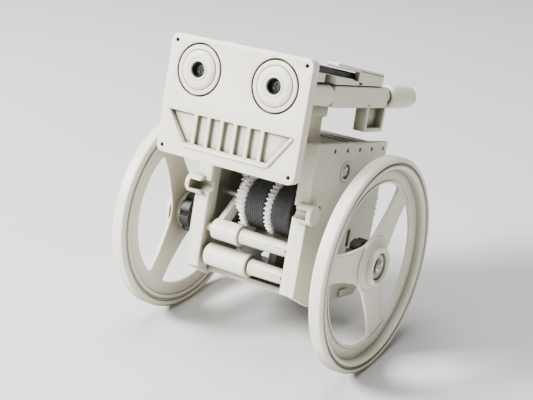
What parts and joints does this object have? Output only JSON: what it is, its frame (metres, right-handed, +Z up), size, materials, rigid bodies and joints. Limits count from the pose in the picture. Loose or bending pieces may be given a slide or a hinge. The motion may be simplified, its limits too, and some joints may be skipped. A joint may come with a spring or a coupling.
{
  "type": "solar robot kit",
  "caption": "Wheeled solar robot with a leaning gearbox body, face plate, spoked wheels, rubber rollers, tail skid and a solar panel on rails.",
  "frame": {"origin": "on the floor, under the middle of the bounding box", "axes": "+X to the right when the robot is seen from the front, +Y to its back, +Z up"},
  "size_m": [0.083, 0.096, 0.1067],
  "materials": {
    "ivory_plastic": "moulded satin",
    "white_plastic": "moulded satin",
    "roller_rubber": "dark grey, finely ribbed",
    "charcoal_plastic": "moulded matt",
    "steel": "plated",
    "brass": "plain",
    "solar_cell": "dark blue cells under clear resin"
  },
  "bodies": {
    "chassis": {"left_side_wall": "ivory_plastic", "right_side_wall": "ivory_plastic", "left_case_screw": "steel", "right_case_screw": "steel", "top_deck": "ivory_plastic", "bottom_plate": "ivory_plastic", "rear_cover": "ivory_plastic", "lower_cross_sleeve": "ivory_plastic", "lower_cross_rod": "ivory_plastic", "idler_arm": "ivory_plastic", "upper_cross_rod": "ivory_plastic", "tail_skid": "ivory_plastic", "skid_screw": "steel", "motor_can": "steel", "motor_end_cap": "charcoal_plastic", "upper_motor_terminal": "brass", "lower_motor_terminal": "brass", "motor_cradle": "ivory_plastic", "holder_bridge": "ivory_plastic", "left_rail": "ivory_plastic", "right_rail": "ivory_plastic", "left_rail_knob": "ivory_plastic", "right_rail_knob": "ivory_plastic", "solar_panel": "solar_cell", "left_panel_clip": "ivory_plastic", "right_panel_clip": "ivory_plastic", "face_plate": "ivory_plastic", "left_face_pin": "ivory_plastic", "right_face_pin": "ivory_plastic", "left_eye_ring": "ivory_plastic", "right_eye_ring": "ivory_plastic", "left_pupil_screw": "charcoal_plastic", "right_pupil_screw": "charcoal_plastic"},
    "wheel_set": {"axle": "ivory_plastic", "output_gear": "white_plastic", "left_wheel": "ivory_plastic", "right_wheel": "ivory_plastic", "left_hub_cap": "ivory_plastic", "right_hub_cap": "ivory_plastic", "left_hub_screw": "steel", "right_hub_screw": "steel", "left_drive_bush": "charcoal_plastic", "right_drive_bush": "charcoal_plastic"},
    "roller_set": {"roller_shaft": "steel", "roller_pinion": "white_plastic", "roller_gear": "white_plastic", "flange_gear": "white_plastic", "inner_roller": "roller_rubber", "outer_roller": "roller_rubber"},
    "idler_set": {"idler_shaft": "steel", "idler_gear": "white_plastic", "idler_pinion": "white_plastic"},
    "motor_rotor": {"motor_shaft": "steel", "motor_pinion": "brass"}
  },
  "joints": [
    {"name": "wheel_spin", "type": "hinge", "parent": "chassis", "child": "wheel_set", "pos_m": [0, -0.012, 0.036], "axis": [1, 0, 0], "continuous": true},
    {"name": "roller_spin", "type": "hinge", "parent": "chassis", "child": "roller_set", "pos_m": [0, -0.01737, 0.05], "axis": [1, 0, 0], "continuous": true},
    {"name": "idler_spin", "type": "hinge", "parent": "chassis", "child": "idler_set", "pos_m": [0, -0.00559, 0.05229], "axis": [1, 0, 0], "continuous": true},
    {"name": "motor_spin", "type": "hinge", "parent": "chassis", "child": "motor_rotor", "pos_m": [0, 0.00464, 0.04512], "axis": [1, 0, 0], "continuous": true}
  ],
  "couplings": [
    {"joint": "roller_spin", "follows": "wheel_spin", "ratio": -2},
    {"joint": "idler_spin", "follows": "wheel_spin", "ratio": 6},
    {"joint": "motor_spin", "follows": "wheel_spin", "ratio": -24}
  ]
}
